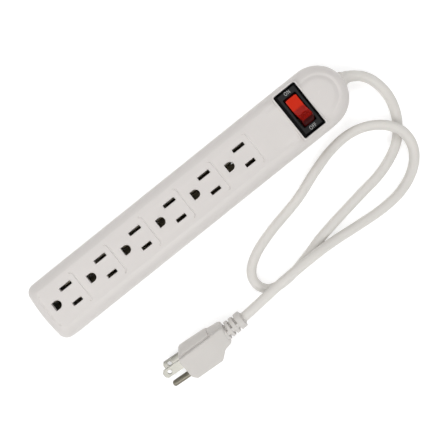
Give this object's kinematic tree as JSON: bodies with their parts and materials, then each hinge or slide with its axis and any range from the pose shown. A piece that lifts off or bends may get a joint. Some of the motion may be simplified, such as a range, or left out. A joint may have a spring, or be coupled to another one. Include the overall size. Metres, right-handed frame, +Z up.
{
  "type": "power strip",
  "caption": "Slim white power strip with a row of grounded sockets, a red lit rocker switch at its round end, and a short mains lead ending in a moulded plug.",
  "frame": {"origin": "0.6 mm right of the middle of the housing's base, on the surface it stands on", "axes": "+X along the housing towards the end where the lead leaves, +Z up out of the sockets, and the lead and plug lie on the -Y side"},
  "size_m": [0.2832, 0.1218, 0.0344],
  "materials": {
    "housing_plastic": "satin moulded plastic, warm white",
    "label_film": "blank silver film",
    "screw_steel": "zinc plated",
    "contact_brass": "stamped strip",
    "switch_black": "satin black",
    "rocker_red": "translucent red, polished",
    "plunger_nylon": "natural nylon",
    "lamp_glass": "clear glass",
    "resistor_body": "lacquered ceramic",
    "lead_black": "PVC insulation",
    "lead_white": "PVC insulation",
    "lead_green": "PVC insulation",
    "cord_pvc": "soft PVC jacket, satin",
    "plug_pvc": "moulded PVC, satin",
    "blade_nickel": "nickel plated",
    "pin_brass": "folded sheet, dull nickel"
  },
  "bodies": {
    "housing": {"top_cover": "housing_plastic", "bottom_cover": "housing_plastic", "rating_label": "label_film", "housing_screw_1": "screw_steel", "housing_screw_2": "screw_steel", "housing_screw_3": "screw_steel", "housing_screw_4": "screw_steel", "housing_screw_5": "screw_steel", "housing_screw_6": "screw_steel", "line_bus_bar": "contact_brass", "neutral_bus_bar": "contact_brass", "ground_bus_bar": "contact_brass", "switch_housing": "switch_black", "load_terminal": "contact_brass", "line_terminal": "contact_brass", "lamp_terminal": "contact_brass", "neon_lamp": "lamp_glass", "lamp_resistor": "resistor_body", "live_lead": "lead_black", "switched_lead": "lead_black", "neutral_lead": "lead_white", "lamp_lead": "lead_white", "ground_lead": "lead_green", "cord_strain_relief": "cord_pvc", "power_cord": "cord_pvc", "plug_body": "plug_pvc", "plug_line_blade": "blade_nickel", "plug_neutral_blade": "blade_nickel", "plug_ground_pin": "pin_brass"},
    "rocker": {"switch_rocker": "rocker_red", "switch_plunger": "plunger_nylon", "switch_spring": "screw_steel"},
    "contact_arm": {"switch_contact_arm": "contact_brass"}
  },
  "joints": [
    {"name": "rocker_tilt", "type": "hinge", "parent": "housing", "child": "rocker", "pos_m": [0.0889, 0, 0.0242], "axis": [1, 0, 0], "range_deg": [0, 24]},
    {"name": "contact_arm_tilt", "type": "hinge", "parent": "housing", "child": "contact_arm", "pos_m": [0.0889, 0, 0.0154], "axis": [1, 0, 0], "range_deg": [-12, 0]}
  ],
  "couplings": [
    {"joint": "contact_arm_tilt", "follows": "rocker_tilt", "ratio": -0.5}
  ]
}
